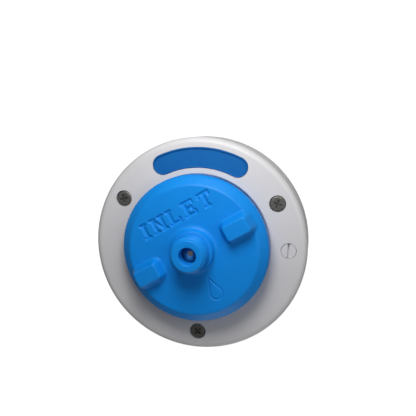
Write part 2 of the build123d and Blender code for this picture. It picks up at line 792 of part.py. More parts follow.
def make_collector():
    """The hub, its slotted laterals and the pipe to the outlet."""
    with BuildPart() as lateral_hub:
        disc(upright, foot_boss_top + snug, hub_bottom + embed, hub_foot)
        disc(upright, hub_bottom, hub_top, hub_radius)
        fillet(lateral_hub.faces().sort_by(Axis.Z)[-1].edges(), 2.0)
        disc(upright, hub_bottom + hub_wall, hub_top - hub_wall, hub_radius - hub_wall, mode=Mode.SUBTRACT)
        for angle in lateral_angles():
            disc(lateral_axis(angle), 3, hub_radius + 1, lateral_radius + snug, mode=Mode.SUBTRACT)
        disc(outlet_axis, 3, hub_radius + 1, pipe_radius + snug, mode=Mode.SUBTRACT)
    finish(lateral_hub, "lateral_hub")
    for number, angle in enumerate(lateral_angles(), start=1):
        axis = lateral_axis(angle)
        with BuildPart() as lateral:
            disc(axis, lateral_root, lateral_end, lateral_radius)
            disc(axis, lateral_root, lateral_end - 2, lateral_inner, mode=Mode.SUBTRACT)
            with BuildSketch(Plane(origin=(0, 0, 0), x_dir=axis.z_dir)):
                with Locations(((hub_radius + lateral_end) / 2, 0)):
                    with GridLocations(lateral_slot_pitch, 1, lateral_slots, 1):
                        Rectangle(lateral_slot_width, 2 * lateral_radius + 1)
            extrude(amount=lateral_height - 1.2, mode=Mode.SUBTRACT)
        finish(lateral, f"lateral_{number}")
    with BuildPart() as collector_pipe:
        disc(outlet_axis, lateral_root, boss_root + 8 - snug, pipe_radius, bore=pipe_radius - 1.6)
    finish(collector_pipe, "collector_pipe")


def clear_bosses():
    """Keep a bed clear of the outlet's and the drain's bosses."""
    disc(outlet_axis, boss_root - bed_gap, boss_face, outlet_boss + bed_gap, mode=Mode.SUBTRACT)
    disc(drain_axis, boss_root - bed_gap, boss_face, drain_boss + bed_gap, mode=Mode.SUBTRACT)


def make_beds():
    """Sand over gravel. The gravel lies round the hub, the laterals and the pipe."""
    with BuildPart() as gravel_bed:
        add(cavity(bed_gap, gravel_top))
        clear_bosses()
        gap = bed_gap
        disc(upright, crown_height, foot_boss_top + gap, foot_boss + gap, mode=Mode.SUBTRACT)
        disc(upright, crown_height, hub_bottom, hub_foot + gap, mode=Mode.SUBTRACT)
        disc(upright, hub_bottom - gap, hub_top + gap, hub_radius + gap, mode=Mode.SUBTRACT)
        for angle in lateral_angles():
            disc(lateral_axis(angle), 0, lateral_end + gap, lateral_radius + gap, mode=Mode.SUBTRACT)
        disc(outlet_axis, 0, boss_face, pipe_radius + gap, mode=Mode.SUBTRACT)
    finish(gravel_bed, "gravel_bed")
    with BuildPart() as sand_bed:
        add(cavity(bed_gap, sand_top))
        disc(upright, crown_height, gravel_top + bed_gap, belly_radius, mode=Mode.SUBTRACT)
        clear_bosses()
    finish(sand_bed, "sand_bed")


# ---- pedestal ----------------------------------------------------------------------------------------------
foot_radius = seat_outer - pedestal_spread
waist_radius = seat_outer - pedestal_waist
post_wall = 2.4
post_cap = 3.0  # thickness of a post's top, under the tank's boss


def make_pedestal():
    """Grey pedestal with a closed floor and three hollow screw posts, its screws and its rubber pad."""
    waist_z = 22.0
    seat_inner = dome_rim + running
    with BuildPart() as pedestal:
        with BuildSketch(Plane.XZ):
            with BuildLine():
                Polyline(
                    (0, pad_thickness),
                    (foot_radius, pad_thickness),
                    (foot_radius, pad_thickness + 3.0),
                )
                ThreePointArc(
                    (foot_radius, pad_thickness + 3.0),
                    (waist_radius, waist_z),
                    (seat_outer, seat_height - 3.0),
                )
                Polyline(
                    (seat_outer, seat_height - 3.0),
                    (seat_outer, seat_height),
                    (seat_inner, seat_height),
                    (seat_inner, seat_height - 3.0),
                )
                ThreePointArc(
                    (seat_inner, seat_height - 3.0),
                    (waist_radius - pedestal_wall, waist_z),
                    (foot_radius - pedestal_wall, pad_thickness + pedestal_wall),
                )
                Polyline(
                    (foot_radius - pedestal_wall, pad_thickness + pedestal_wall),
                    (0, pad_thickness + pedestal_wall),
                    (0, pad_thickness),
                )
            make_face()
        revolve(axis=Axis.Z)
        with BuildSketch(Plane.XY.offset(pad_thickness)):
            with PolarLocations(post_circle, 3, start_angle=90):
                Circle(base_screw_head + running + post_wall)
        extrude(amount=post_top - pad_thickness)
        with BuildSketch(Plane.XY.offset(pad_thickness)):
            with PolarLocations(post_circle, 3, start_angle=90):
                Circle(base_screw_head + running)
        extrude(amount=post_top - pad_thickness - post_cap, mode=Mode.SUBTRACT)
        with BuildSketch(Plane.XY.offset(pad_thickness)):
            with PolarLocations(post_circle, 3, start_angle=90):
                Circle(base_screw_radius + 0.2)
        extrude(amount=post_top - pad_thickness, mode=Mode.SUBTRACT)
    finish(pedestal, "pedestal")
    head_top = post_top - post_cap - snug
    with BuildPart() as base_screws:
        with BuildSketch(Plane.XY.offset(head_top)):
            with PolarLocations(post_circle, 3, start_angle=90):
                Circle(base_screw_head)
        extrude(amount=-base_screw_head_height)
        fillet(base_screws.faces().filter_by(Plane.XY).group_by(Axis.Z)[0].edges(), 0.8)
        with BuildSketch(Plane.XY.offset(head_top)):
            with PolarLocations(post_circle, 3, start_angle=90):
                Circle(base_screw_radius)
        extrude(amount=post_cap + base_screw_depth)
        for spin in (0, 90):
            with BuildSketch(Plane.XY.offset(head_top - base_screw_head_height)):
                with PolarLocations(post_circle, 3, start_angle=90):
                    Rectangle(4.4, 1.0, rotation=spin)
            extrude(amount=1.5, mode=Mode.SUBTRACT)
    finish(base_screws, "base_screws")
    with BuildPart() as foot_pad:
        disc(upright, 0, pad_thickness, foot_radius - 1.5)
        chamfer(foot_pad.edges(), 0.5)
    finish(foot_pad, "foot_pad")


os.makedirs("parts", exist_ok=True)
make_top_ring()
make_colour_inlay()
make_ring_screws()
make_brass_inserts()
make_bleed_plug()
make_inlet_cap()
make_cap_contents()
make_tank_shell()
make_diffuser()
make_beds()
make_collector()
make_outlet()
make_drain()
make_pedestal()
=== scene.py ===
# %% [markdown]
# # A small sand filter tank, seen from above
#
# The tank stands upright on a pale floor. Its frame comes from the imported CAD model: every part is already
# in place, in metres, with +Z up. This script adds what the eye looks for. That is the soft moulded shape
# of the blue screw cap, the finish of each plastic, metal and rubber, and the light.

# %% Load the frame
import json
import math
import bpy
import numpy as np
from mathutils import Matrix, Vector


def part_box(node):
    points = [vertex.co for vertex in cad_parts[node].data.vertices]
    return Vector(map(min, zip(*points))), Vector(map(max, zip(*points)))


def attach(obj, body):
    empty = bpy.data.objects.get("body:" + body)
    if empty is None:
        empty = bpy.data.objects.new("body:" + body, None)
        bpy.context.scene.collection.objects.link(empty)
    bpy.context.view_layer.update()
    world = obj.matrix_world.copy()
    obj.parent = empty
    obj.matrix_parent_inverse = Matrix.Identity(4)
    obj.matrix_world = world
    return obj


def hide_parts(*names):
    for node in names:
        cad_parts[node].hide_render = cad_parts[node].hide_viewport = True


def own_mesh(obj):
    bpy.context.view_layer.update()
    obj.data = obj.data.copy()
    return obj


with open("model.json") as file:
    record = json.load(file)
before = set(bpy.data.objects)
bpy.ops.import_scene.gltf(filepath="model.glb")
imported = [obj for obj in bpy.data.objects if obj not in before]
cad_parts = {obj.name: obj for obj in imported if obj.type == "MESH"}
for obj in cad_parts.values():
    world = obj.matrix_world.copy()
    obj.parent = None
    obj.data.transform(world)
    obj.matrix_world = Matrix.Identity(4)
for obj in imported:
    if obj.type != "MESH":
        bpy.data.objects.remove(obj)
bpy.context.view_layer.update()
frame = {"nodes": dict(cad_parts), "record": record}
nodes = frame["nodes"]
scene = bpy.context.scene
MM = 0.001
print("CAD nodes:", len(nodes))

# %% [markdown]
# ## Sizes read from the frame
#
# The cap, the ring and the tank are turned shapes, so a few radii and heights say nearly everything. Each
# is read from the box of its CAD part, so the finer surfaces made here lie where the CAD parts lie.

# %% Radii and heights in millimetres


def low_high(node):
    """Lowest and highest corner of a CAD part, in millimetres."""
    low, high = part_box(node)
    return np.array(low) / MM, np.array(high) / MM


cap_low, cap_high = low_high("inlet_cap")
ring_low, ring_high = low_high("top_ring")
cap_edge = round((cap_high[0] - cap_low[0]) / 2, 2)
ring_edge = round((ring_high[0] - ring_low[0]) / 2, 2)
face_z = round(ring_high[2], 2)
tip_z = round(cap_high[2], 2)
nose_z = round(cap_low[2], 2)
print("cap radius", cap_edge, "ring radius", ring_edge, "ring face", face_z, "nozzle tip", tip_z)
print("cap nose at", nose_z)

# %% [markdown]
# ## Camera
#
# The object is seen from almost straight above, a little from its right and far side, and from near enough
# that the nozzle leans away from the middle. An aim point on the ring's face, a tilt, a bearing, a distance
# and a small roll describe that view better than a list of coordinates would.

# %% Camera
camera_aim = Vector((5.65, 23.0, face_z)) * MM
camera_tilt = math.radians(13.55)  # from straight above
camera_bearing = math.radians(37.7)  # from +X towards +Y
camera_distance = 330.0 * MM
camera_roll = math.radians(0.62)

towards_camera = Vector((
    math.sin(camera_tilt) * math.cos(camera_bearing),
    math.sin(camera_tilt) * math.sin(camera_bearing),
    math.cos(camera_tilt),
))
right = Vector((0, 1, 0)).cross(towards_camera).normalized()
up = towards_camera.cross(right)
turn = Matrix((right, up, towards_camera)).transposed().to_4x4() @ Matrix.Rotation(camera_roll, 4, "Z")
camera = bpy.data.objects.new("camera", bpy.data.cameras.new("camera"))
scene.collection.objects.link(camera)
camera.matrix_world = Matrix.Translation(camera_aim + towards_camera * camera_distance) @ turn
camera.data.lens = 48.03
camera.data.sensor_width = 36
camera.data.clip_start = 0.01
scene.camera = camera
print("camera at", [round(v, 4) for v in camera.matrix_world.translation])

# %% [markdown]
# ## Helpers for materials
#
# Every finish starts from the plain shader and gets a few nodes. Each node could be written out by hand,
# but one function that adds a node with its settings and its links says the same in one line. Another turns
# the hex colours that people write down into the linear values that light needs.

# %% Colour


def linear(hex_colour):
    """An sRGB hex colour as linear red, green, blue and alpha 1."""
    parts = np.array([int(hex_colour[i : i + 2], 16) for i in (1, 3, 5)]) / 255
    value = np.where(parts <= 0.04045, parts / 12.92, ((parts + 0.055) / 1.055) ** 2.4)
    return (*(float(v) for v in value), 1.0)


print("mid grey #808080 in linear light:", round(linear("#808080")[0], 3))

# %% One node, and one finish
MIX_DARK, MIX_LIGHT, MIX_RESULT = 6, 7, 2  # the colour sockets of a Mix node


def node(tree, kind, links=None, **settings):
    """A new node. Each setting is one of its own properties, or else the input of that name.

    links says which socket feeds which of its inputs.
    """
    new = tree.nodes.new(kind)
    for key, value in settings.items():
        if hasattr(new, key):
            setattr(new, key, value)
        else:
            new.inputs[key.replace("_", " ")].default_value = value
    for key, socket in (links or {}).items():
        tree.links.new(socket, new.inputs[key])
    return new


def finish_of(name, roughness, **sockets):
    """A material with the plain shader, and its tree, shader and object coordinates."""
    material = bpy.data.materials.new(name)
    material.use_nodes = True
    tree = material.node_tree
    shader = tree.nodes["Principled BSDF"]
    shader.inputs["Roughness"].default_value = roughness
    for key, value in sockets.items():
        shader.inputs[key.replace("_", " ")].default_value = value
    place = node(tree, "ShaderNodeTexCoord").outputs["Object"]
    print("finish", name, "roughness", roughness)
    return material, tree, shader, place


# %% Colour drift, grain and gloss


def mottle(tree, shader, place, light_hex, dark_hex, patch_mm):
    """Colour that drifts between two near shades, in patches of about patch_mm."""
    noise = node(tree, "ShaderNodeTexNoise", {"Vector": place}, Scale=1 / (patch_mm * MM), Detail=3.0)
    mix = node(tree, "ShaderNodeMix", {"Factor": noise.outputs["Fac"]}, data_type="RGBA")
    mix.inputs[MIX_DARK].default_value = linear(dark_hex)
    mix.inputs[MIX_LIGHT].default_value = linear(light_hex)
    tree.links.new(mix.outputs[MIX_RESULT], shader.inputs["Base Color"])


def grain(tree, shader, place, grain_mm, depth_mm):
    """Fine bumps of about grain_mm across and depth_mm deep, such as spark-eroded moulds leave."""
    noise = node(tree, "ShaderNodeTexNoise", {"Vector": place}, Scale=1 / (grain_mm * MM), Detail=2.0)
    height = {"Height": noise.outputs["Fac"]}
    bump = node(tree, "ShaderNodeBump", height, Strength=1.0, Distance=depth_mm * MM)
    tree.links.new(bump.outputs["Normal"], shader.inputs["Normal"])


def uneven_gloss(tree, shader, place, patch_mm, low, high):
    """Roughness that wanders between two values, as handling leaves on moulded plastic."""
    noise = node(tree, "ShaderNodeTexNoise", {"Vector": place}, Scale=1 / (patch_mm * MM), Detail=4.0)
    value = {"Value": noise.outputs["Fac"]}
    spread = node(tree, "ShaderNodeMapRange", value, To_Min=low, To_Max=high)
    tree.links.new(spread.outputs["Result"], shader.inputs["Roughness"])


# %% [markdown]
# ## Light
#
# A product is usually lit by one large soft lamp, with a weak fill from the other side. Here the main lamp
# stands beyond the inlay, close to the object, so the far side of the white ring is bright and the near
# left side falls off to grey. A third lamp, low in front, lights the tank's side. The sky looks white to
# the camera, and gives little light. The plain transform keeps the blue as strong as the plastic is.

# %% Lamps


def lamp(name, place, aim, size, power, colour):
    """A square soft lamp at a place in metres that faces an aim point."""
    light = bpy.data.lights.new(name, "AREA")
    light.size = size
    light.energy = power
    light.color = colour
    holder = bpy.data.objects.new(name, light)
    scene.collection.objects.link(holder)
    place = Vector(place)
    facing = (place - Vector(aim)).to_track_quat("Z", "Y")
    holder.matrix_world = Matrix.Translation(place) @ facing.to_matrix().to_4x4()
    holder.visible_camera = False
    print("lamp", name, "power", power, "W, side", size, "m")


top_of_object = (0, 0, face_z * MM)
lamp("key", (0.015, 0.16, 0.30), top_of_object, 0.10, 0.36, (1.0, 0.99, 0.98))
lamp("fill", (0.34, 0.08, 0.52), top_of_object, 0.35, 0.41, (0.97, 0.98, 1.0))
lamp("front", (0.10, -0.65, 0.10), (0, 0, 0.10), 0.40, 0.9, (1.0, 1.0, 1.0))

# %% Sky
sky_light = 0.13  # the light that the sky gives
sky_seen = 0.95  # what the camera sees of it

world = bpy.data.worlds.new("studio")
scene.world = world
world.use_nodes = True
sky_tree = world.node_tree
sky = sky_tree.nodes["Background"]
sky.inputs["Color"].default_value = (1.0, 1.0, 1.0, 1.0)
camera_ray = node(sky_tree, "ShaderNodeLightPath").outputs["Is Camera Ray"]
seen = node(sky_tree, "ShaderNodeMapRange", {"Value": camera_ray}, To_Min=sky_light, To_Max=sky_seen)
sky_tree.links.new(seen.outputs["Result"], sky.inputs["Strength"])
scene.view_settings.view_transform = "Standard"
scene.view_settings.look = "None"
print("sky gives", sky_light, "and looks", sky_seen)

# %% [markdown]
# ## Floor
#
# A plain pale sheet, so wide that its edge is never seen. It isn't part of the object. Its glow is seen by
# the camera alone, so the background is clean and yet no light climbs up the object's sides.

# %% Floor mesh and its paint
floor_half = 3.0  # metres
floor_glow = 0.8
floor_mesh = bpy.data.meshes.new("floor")
corners = [(-1, -1), (1, -1), (1, 1), (-1, 1)]
floor_mesh.from_pydata([(x * floor_half, y * floor_half, 0) for x, y in corners], [], [(0, 1, 2, 3)])
floor = bpy.data.objects.new("floor", floor_mesh)
scene.collection.objects.link(floor)
floor_paint, tree, shader, place = finish_of("matt_floor_paint", 0.9)
mottle(tree, shader, place, "#FAFAFA", "#F6F6F6", 60)
shader.inputs["Emission Color"].default_value = (1, 1, 1, 1)
camera_ray = node(tree, "ShaderNodeLightPath").outputs["Is Camera Ray"]
glow = node(tree, "ShaderNodeMath", {0: camera_ray}, operation="MULTIPLY")
glow.inputs[1].default_value = floor_glow
tree.links.new(glow.outputs[0], shader.inputs["Emission Strength"])
floor_mesh.materials.append(floor_paint)
print("floor", 2 * floor_half, "m wide")

# %% [markdown]
# ## Finishes
#
# Each finish starts from what the real piece is made of and how its surface came about. A plain colour
# would do from far away. From near by, moulded plastic shows a slow drift of shade, a fine grain from the
# spark-eroded mould and a gloss that handling has worn, so each of the three has its own noise. Patches are
# sized in millimetres. Real mould grain is 0.02 to 0.05 mm wide, which is too fine to see here, so every
# grain is drawn several times coarser.

# %% Cap: injection-moulded polypropylene, dyed through
# A strong blue with a wide, soft highlight. Polypropylene is waxy, so it reflects less than most plastics.
blue_polypropylene, tree, shader, place = finish_of(
    "blue_polypropylene", 0.42, IOR=1.42, Specular_IOR_Level=0.3
)
mottle(tree, shader, place, "#0F8FEC", "#0C88E2", 14)
grain(tree, shader, place, 0.35, 0.012)
uneven_gloss(tree, shader, place, 9, 0.38, 0.50)

# %% Inlay: moulded blue ABS
# Deeper and more matt than the cap, so the two blues stay apart.
blue_abs, tree, shader, place = finish_of("blue_abs", 0.55, IOR=1.40, Specular_IOR_Level=0.3)
mottle(tree, shader, place, "#086AB4", "#065FA6", 9)
grain(tree, shader, place, 0.3, 0.012)

# %% Ring and bleed plug: moulded white ABS
# Harder than polypropylene. It gives a clean, slightly sharper highlight on the ring's rounded edge.
white_abs, tree, shader, place = finish_of("white_abs", 0.45, IOR=1.54)
mottle(tree, shader, place, "#DEDDE0", "#D8D7D8", 18)
grain(tree, shader, place, 0.4, 0.010)
uneven_gloss(tree, shader, place, 12, 0.40, 0.52)

# %% Tank and inner pipework: moulded white polypropylene
# A little yellower and duller than the ring, as uncoloured polypropylene is.
white_polypropylene, tree, shader, place = finish_of("white_polypropylene", 0.5, IOR=1.49)
mottle(tree, shader, place, "#DAD9D4", "#D2D1CC", 22)
grain(tree, shader, place, 0.5, 0.02)

# %% Pedestal, outlet and drain: moulded grey polypropylene
# A dark satin that hides scuffs. The highlight is broad and weak.
grey_polypropylene, tree, shader, place = finish_of("grey_polypropylene", 0.5, IOR=1.49)
mottle(tree, shader, place, "#5E6165", "#565A5E", 15)
grain(tree, shader, place, 0.5, 0.03)

# %% Ring screws: blackened steel
# The oxide is dark but still metal, so it gives short greyish glints in the cross slot.
blackened_steel, tree, shader, place = finish_of("blackened_steel", 0.45, Metallic=0.7)
mottle(tree, shader, place, "#8C8B86", "#5E5D5A", 1.5)
grain(tree, shader, place, 0.3, 0.02)

# %% Ball, spring and base screws: polished stainless steel
# Bright and sharp, so a glint shows deep in the nozzle.
stainless_steel, tree, shader, place = finish_of("stainless_steel", 0.22, Metallic=1.0)
mottle(tree, shader, place, "#C9C8C6", "#BDBCBA", 4)
grain(tree, shader, place, 0.2, 0.002)

# %% Inserts: turned brass
# Warm yellow with fine tool marks. They sit under the screws and show only when the ring is taken apart.
turned_brass, tree, shader, place = finish_of("turned_brass", 0.3, Metallic=1.0)
mottle(tree, shader, place, "#D9B25C", "#C79F4A", 2)
grain(tree, shader, place, 0.2, 0.005)

# %% Seals and foot pad: pressed EPDM rubber
# Nearly black and fully matt: it shows its edges only.
epdm_rubber, tree, shader, place = finish_of("epdm_rubber", 0.75, IOR=1.52)
mottle(tree, shader, place, "#232324", "#1B1B1C", 3)
grain(tree, shader, place, 0.4, 0.03)

# %% [markdown]
# ## Filter beds
#
# The tank holds quartz sand over rounded gravel. Millions of grains could be scattered as objects, but the
# beds are inside the tank, so a pattern of cells on the surface is enough: one cell is one grain, with its
# own shade and its own height. Filter sand is 0.4 to 0.8 mm, drawn at 0.9 mm, and the gravel is 3 to 6 mm,
# drawn at 5 mm.

# %% Quartz sand and rounded gravel


def loose_bed(name, grain_mm, shades, depth_mm):
    """Grains as cells: each cell has its own shade, and the bump rises towards the cell's middle."""
    material, tree, shader, place = finish_of(name, 0.85, IOR=1.54)
    cells = node(tree, "ShaderNodeTexVoronoi", {"Vector": place}, Scale=1 / (grain_mm * MM))
    shade = node(tree, "ShaderNodeSeparateColor", {"Color": cells.outputs["Color"]})
    mix = node(tree, "ShaderNodeMix", {"Factor": shade.outputs["Red"]}, data_type="RGBA")
    mix.inputs[MIX_DARK].default_value = linear(shades[0])
    mix.inputs[MIX_LIGHT].default_value = linear(shades[1])
    tree.links.new(mix.outputs[MIX_RESULT], shader.inputs["Base Color"])
    height = {"Height": cells.outputs["Distance"]}
    bump = node(tree, "ShaderNodeBump", height, invert=True, Distance=depth_mm * MM)
    tree.links.new(bump.outputs["Normal"], shader.inputs["Normal"])
    return material


quartz_sand = loose_bed("quartz_sand", 0.9, ("#B79A68", "#E2CFA4"), 0.4)
rounded_gravel = loose_bed("rounded_gravel", 5.0, ("#6F675B", "#A79F90"), 2.5)

# %% [markdown]
# ## From slots to finishes
#
# The CAD record gives every part a material slot. Painting part by part would repeat the same choice thirty
# times, so a table goes from slot to finish, and one short loop paints them all.

# %% Put each finish on its CAD parts
finish_by_slot = {
    "white_shell": white_abs,
    "tank_white": white_polypropylene,
    "blue_cap": blue_polypropylene,
    "blue_inlay": blue_abs,
    "dark_steel": blackened_steel,
    "bright_steel": stainless_steel,
    "brass": turned_brass,
    "seal_rubber": epdm_rubber,
    "grey_plastic": grey_polypropylene,
    "sand": quartz_sand,
    "gravel": rounded_gravel,
}
for entry in frame["record"]["subparts"]:
    mesh = nodes[entry["node"]].data
    mesh.materials.clear()
    mesh.materials.append(finish_by_slot[entry["material_slot"]])

# %% [markdown]
# ## The screw cap as one surface of revolution
#
# The real cap is one moulding: nozzle, hub, face, bevel, flange, threaded neck and a hollow underside. A
# closed outline in radius and height, carried round the axis, gives all of it in one sheet with no seam.
# What isn't round is then added as a change of height or radius: the threads, the two finger lugs, the word
# and the drop. This is why a grid of points was chosen over joined blocks: every blend between the shapes
# stays soft.

# %% Soft steps and joins


def smooth_step(value, start, end):
    """0 before start, 1 after end, and 3t^2 - 2t^3 between them."""
    t = np.clip((value - start) / (end - start), 0, 1)
    return t * t * (3 - 2 * t)


def soft_max(a, b, width):
    """The larger of two heights, with a fillet of the given width where they cross."""
    share = np.clip(0.5 + 0.5 * (a - b) / width, 0, 1)
    return b + (a - b) * share + width * share * (1 - share)


def soft_min(a, b, width):
    """The smaller of two heights, with a rounding where they cross."""
    return -soft_max(-a, -b, width)


print("two equal heights, joined over 2.0:", soft_max(0.0, 0.0, 2.0))

# %% A closed outline with rounded corners


def rounded_outline(corners):
    """A closed outline through corners (radius, height, rounding, step), sampled about one step apart.

    Each corner is cut back by its rounding along both sides, and a quadratic curve joins the two cuts. The
    straight run that follows a corner is divided by that corner's step.
    """
    points = np.array([c[:2] for c in corners], float)
    samples = []
    for k, (_, _, cut, step) in enumerate(corners):
        before = points[k - 1] - points[k]
        after = points[(k + 1) % len(corners)] - points[k]
        reach_in = before / np.linalg.norm(before) * cut
        reach_out = after / np.linalg.norm(after) * cut
        if cut > 0:
            t = np.linspace(0, 1, 5 if cut > 0.5 else 3)[:, None]
            samples.append(points[k] + reach_in * (1 - t) ** 2 + reach_out * t**2)
        else:
            samples.append(points[k][None])
        start = points[k] + reach_out
        run = np.linalg.norm(after) - cut - corners[(k + 1) % len(corners)][2]
        count = max(1, round(run / step))
        along = np.arange(1, count)[:, None] / count
        samples.append(start + after / np.linalg.norm(after) * run * along)
    return np.concatenate(samples)


# %% From points to a mesh


def grid_mesh(name, grid):
    """A mesh from a grid of points in millimetres, closed in both directions, faces outwards.

    Each point is joined to the next in its row and in its column, and the last to the first. The signed
    volume, a sum over all faces, is negative when the faces point inwards, and then each is turned round.
    """
    rows, columns, _ = grid.shape
    index = np.arange(rows * columns).reshape(rows, columns)
    down = np.roll(index, -1, 0)
    quads = np.stack([index, down, np.roll(down, -1, 1), np.roll(index, -1, 1)], -1).reshape(-1, 4)
    points = grid.reshape(-1, 3)
    a, b, c, d = (points[quads[:, k]] for k in range(4))
    volume = np.einsum("ij,ij->i", a, np.cross(b, c) + np.cross(c, d)).sum()
    if volume < 0:
        quads = quads[:, ::-1]
    mesh = bpy.data.meshes.new(name)
    mesh.vertices.add(len(points))
    mesh.vertices.foreach_set("co", (points * MM).ravel())
    mesh.loops.add(quads.size)
    mesh.loops.foreach_set("vertex_index", quads.ravel())
    mesh.polygons.add(len(quads))
    mesh.polygons.foreach_set("loop_start", np.arange(len(quads)) * 4)
    mesh.update(calc_edges=True)
    mesh.polygons.foreach_set("use_smooth", np.ones(len(quads), bool))
    mesh.validate()
    return mesh


def tube_mesh(name, line, side, over, thickness, around):
    """A closed bar of round section along a line of points, with a flat face at each end.

    side and over are two directions square to the line at each point, and to each other. A point of the bar's
    skin is the line's point plus half the thickness times cosine of side and sine of over.
    """
    turn = np.linspace(0, 2 * math.pi, around, endpoint=False)
    ring = np.cos(turn)[None, :, None] * side[:, None] + np.sin(turn)[None, :, None] * over[:, None]
    grid = line[:, None] + ring * thickness / 2
    rows = len(line)
    index = np.arange(rows * around).reshape(rows, around)
    quads = np.stack([index[:-1], index[1:], np.roll(index[1:], -1, 1), np.roll(index[:-1], -1, 1)], -1)
    faces = quads.reshape(-1, 4).tolist() + [index[0].tolist(), index[-1, ::-1].tolist()]
    mesh = bpy.data.meshes.new(name)
    mesh.from_pydata((grid.reshape(-1, 3) * MM).tolist(), [], faces)
    mesh.polygons.foreach_set("use_smooth", np.ones(len(faces), bool))
    return mesh


# %% From a mesh to a piece of the assembly


def place_piece(name, mesh, material, body):
    """A finished piece that rides on a body, with the finish it is given."""
    mesh.materials.append(material)
    piece = bpy.data.objects.new(name, mesh)
    scene.collection.objects.link(piece)
    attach(piece, body)
    print(name, "has", len(mesh.polygons), "faces")
    return piece


# %% [markdown]
# ## Threads
#
# A thread is a ridge that climbs as it goes round. It could be swept as a bar of its own, but then it would
# only touch the neck. Adding the ridge to the radius of the surface keeps the neck and its thread one skin.

# %% Thread ridges


def ridge(z, angle, lead, starts, height, width, low, high):
    """How far a helical ridge stands out at height z and an angle.

    The ridge's middle climbs by one lead in one turn. Its section is flat on top with sloping flanks, and it
    fades out over half a pitch at both ends.
    """
    crest_share = 0.18  # of the width, from the ridge's middle to where its flank starts
    pitch = lead / starts
    offset = ((z / lead - angle / (2 * math.pi)) * starts + 0.5) % 1 - 0.5
    across = np.abs(offset) * pitch
    section = 1 - smooth_step(across, width * crest_share, width / 2)
    fade = smooth_step(z, low, low + pitch / 2) * (1 - smooth_step(z, high - pitch / 2, high))
    return height * section * fade


# %% [markdown]
# ## Lugs, word and drop
#
# Each of these is a flat shape on the cap's face. The distance from a point to the edge of the shape,
# negative inside, is enough to say how the surface rises or falls there: a lug goes up over a drafted wall
# with a wide concave foot, and a letter goes down over a short soft edge, as the mould's engraving does.
# The word is INLET in plain slab capitals.

# %% Distances to flat shapes


def to_box(x, y, centre, size, rounding):
    """Distance to a rectangle with rounded corners, negative inside."""
    dx = np.abs(x - centre[0]) - size[0] / 2 + rounding
    dy = np.abs(y - centre[1]) - size[1] / 2 + rounding
    outside = np.hypot(np.maximum(dx, 0), np.maximum(dy, 0))
    return outside + np.minimum(np.maximum(dx, dy), 0) - rounding


def to_stroke(x, y, start, end, width):
    """Distance to a straight stroke of a given width between two points, negative inside."""
    run = np.subtract(end, start)
    t = np.clip(((x - start[0]) * run[0] + (y - start[1]) * run[1]) / (run @ run), 0, 1)
    return np.hypot(x - start[0] - t * run[0], y - start[1] - t * run[1]) - width / 2


# %% The word INLET
letter_height = 8.9
letter_pitch = 10.4
stem_width = 1.7
arm_width = 1.2
serif_height = 0.9
serif_past_stem = 2.2
tick_width, tick_height = 0.9, 2.6
corner = 0.2
word_y = 22.6


def slab_stem(x, y, centre):
    """Distance to an upright stroke with a slab serif at each end."""
    half = letter_height / 2
    nearest = to_box(x, y, (centre, word_y), (stem_width, letter_height), corner)
    for end in (-1, 1):
        middle = (centre, word_y + end * (half - serif_height / 2))
        serif = to_box(x, y, middle, (stem_width + serif_past_stem, serif_height), corner)
        nearest = np.minimum(nearest, serif)
    return nearest


def arm(x, y, centre, level, length):
    """Distance to a level stroke of a letter with a short tick at its right end."""
    tick_y = word_y + level - np.sign(level) * 0.7
    bar = to_box(x, y, (centre, word_y + level), (length, arm_width), corner)
    tick = to_box(x, y, (centre + length / 2 - 0.4, tick_y), (tick_width, tick_height), corner)
    return np.minimum(bar, tick)


def to_word(x, y):
    """Distance to the word INLET, the nearest of all its strokes."""
    half = letter_height / 2
    level = half - arm_width / 2
    tick_y = word_y + half - tick_height / 2
    diagonal_width, arm_length = 1.3, 6.0
    i, n, l, e, t = (letter_pitch * step for step in (-2, -1, 0, 1, 2))
    strokes = [
        slab_stem(x, y, i + 1.2),
        slab_stem(x, y, n - 2.7),
        slab_stem(x, y, n + 2.7),
        to_stroke(x, y, (n - 2.7, word_y + half - 0.5), (n + 2.7, word_y - half + 0.5), diagonal_width),
        slab_stem(x, y, l - 2.2),
        arm(x, y, l + 0.2, -level, arm_length),
        slab_stem(x, y, e - 2.2),
        arm(x, y, e + 0.2, -level, arm_length),
        arm(x, y, e + 0.2, level, arm_length),
        to_box(x, y, (e - 0.2, word_y), (3.6, 1.1), corner),
        to_box(x, y, (e + 1.4, word_y), (0.8, tick_height), corner),
        slab_stem(x, y, t),
        to_box(x, y, (t, word_y + level), (7.4, arm_width), corner),
        to_box(x, y, (t - 3.3, tick_y), (tick_width, tick_height), corner),
        to_box(x, y, (t + 3.3, tick_y), (tick_width, tick_height), corner),
    ]
    return np.minimum.reduce(strokes)


print("word", letter_height, "mm tall,", 4 * letter_pitch, "mm from the first letter's middle to the last's")

# %% The drop


def to_drop(x, y):
    """Distance to a drop's outline: a round belly and two straight sides that meet at its tip."""
    belly, belly_y, tip_y = 3.7, -28.0, -17.9
    reach = tip_y - belly_y
    x = np.abs(x)
    sine = belly / reach
    cosine = math.sqrt(1 - sine**2)
    along = -(y - tip_y) * cosine + x * sine
    side = x * cosine + (y - tip_y) * sine
    straight = np.where(along > 0, np.abs(side), np.hypot(x, y - tip_y))
    round_part = np.abs(np.hypot(x, y - belly_y) - belly)
    on_belly = y < belly_y + belly * sine
    return np.where(on_belly, round_part, straight)


# %% [markdown]
# ## The cap's own sizes
#
# The neck, the flange and the hollow are measured from the ring's face and from the cap's lowest edge. The
# nozzle is a half-inch pipe thread: 20.96 mm over the crests, and 1.814 mm from one crest to the next.

